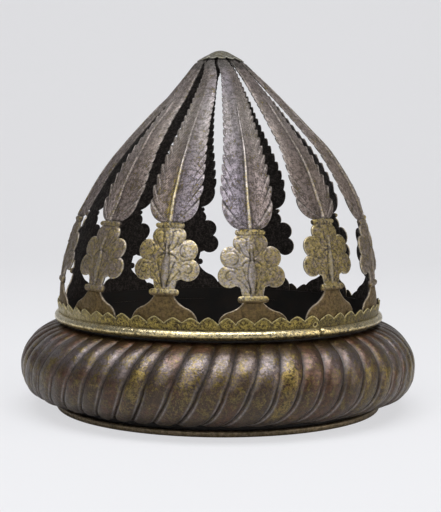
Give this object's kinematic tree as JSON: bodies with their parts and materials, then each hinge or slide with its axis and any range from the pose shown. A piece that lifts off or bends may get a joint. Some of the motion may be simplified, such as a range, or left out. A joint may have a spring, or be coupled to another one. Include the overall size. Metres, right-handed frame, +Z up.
{
  "type": "parade helmet",
  "caption": "Open-work ogival parade helmet of gilt copper: cut-out straps rise from a scalloped band to a lobed cap above a fluted turban-like roll.",
  "frame": {"origin": "centre of the flat rim that the helmet stands on", "axes": "+Z up along the helmet's axis to its apex, -Y towards the front, where strap 01 stands"},
  "size_m": [0.2622, 0.2626, 0.2349],
  "materials": {
    "strap_metal": "patinated copper with worn gilding on its raised ribs and collars",
    "band_gilding": "worn gilding, olive gold with dark spots",
    "moulding_gilding": "burnished gilding",
    "ring_metal": "dark oxidised copper",
    "roll_metal": "smooth brown copper with traces of gilding",
    "rim_metal": "brown copper with traces of gilding",
    "cap_metal": "grey-olive patinated copper",
    "plate_metal": "dark oxidised copper",
    "rivet_metal": "copper, filed flush"
  },
  "bodies": {
    "root": {"crown_strap_01": "strap_metal", "crown_strap_02": "strap_metal", "crown_strap_03": "strap_metal", "crown_strap_04": "strap_metal", "crown_strap_05": "strap_metal", "crown_strap_06": "strap_metal", "crown_strap_07": "strap_metal", "crown_strap_08": "strap_metal", "crown_strap_09": "strap_metal", "crown_strap_10": "strap_metal", "crown_strap_11": "strap_metal", "crown_strap_12": "strap_metal", "scalloped_band": "band_gilding", "base_moulding": "moulding_gilding", "head_ring": "ring_metal", "turban_roll": "roll_metal", "bottom_rim": "rim_metal", "apex_cap": "cap_metal", "apex_backing_plate": "plate_metal", "apex_rivet": "rivet_metal"}
  },
  "joints": []
}
